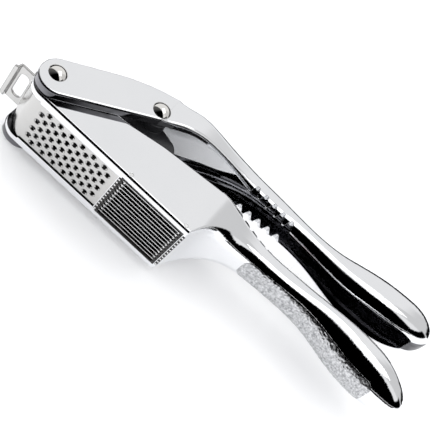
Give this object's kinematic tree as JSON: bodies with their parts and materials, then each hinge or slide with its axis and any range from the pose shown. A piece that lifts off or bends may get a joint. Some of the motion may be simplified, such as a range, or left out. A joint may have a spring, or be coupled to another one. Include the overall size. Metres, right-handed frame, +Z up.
{
  "type": "garlic press",
  "caption": "Two-handled garlic press with a perforated mincing tray, a bladed slicing grid and a toothed nutcracker gap, lying on its side.",
  "frame": {"origin": "centre of the footprint, on the plane the press lies on", "axes": "+X from the nose to the handle tips, +Y from the perforated underside towards the lever, +Z up from the worktop, across the width of the press"},
  "size_m": [0.2266, 0.0712, 0.0503],
  "materials": {
    "cast_chrome": "bright plated zinc casting, with a fine stippled grip patch under the lower handle",
    "rivet_steel": "polished",
    "tray_steel": "satin pressed sheet",
    "blade_steel": "polished thin strip and rod",
    "cassette_dark": "dark satin",
    "plunger_dark": "dark semi-gloss",
    "pusher_plastic": "matt"
  },
  "bodies": {
    "press_body": {"body_frame": "cast_chrome", "hinge_rivet": "rivet_steel", "slicer_frame": "cassette_dark", "blade_rods": "blade_steel", "slicer_blade_01": "blade_steel", "slicer_blade_02": "blade_steel", "slicer_blade_03": "blade_steel", "slicer_blade_04": "blade_steel", "slicer_blade_05": "blade_steel", "slicer_blade_06": "blade_steel", "slicer_blade_07": "blade_steel", "slicer_blade_08": "blade_steel", "slicer_blade_09": "blade_steel", "slicer_blade_10": "blade_steel", "slicer_blade_11": "blade_steel", "slicer_blade_12": "blade_steel"},
    "lever": {"upper_handle": "cast_chrome", "plunger_rivet": "rivet_steel"},
    "plunger_arm": {"plunger": "plunger_dark", "slicer_pusher": "pusher_plastic"},
    "tray": {"strainer_tray": "tray_steel"}
  },
  "joints": [
    {"name": "handle_hinge", "type": "hinge", "parent": "press_body", "child": "lever", "pos_m": [-0.09635, -0.02506, 0.02515], "axis": [0, 0, 1], "range_deg": [-4.5, 80]},
    {"name": "plunger_pivot", "type": "hinge", "parent": "lever", "child": "plunger_arm", "pos_m": [-0.05505, -0.00046, 0.02515], "axis": [0, 0, 1], "range_deg": [-1, 8.5]},
    {"name": "tray_slide", "type": "slide", "parent": "press_body", "child": "tray", "axis": [-1, 0, 0], "range_m": [0, 0.048]}
  ],
  "couplings": [
    {"joint": "plunger_pivot", "follows": "handle_hinge", "ratio": 0.1}
  ]
}
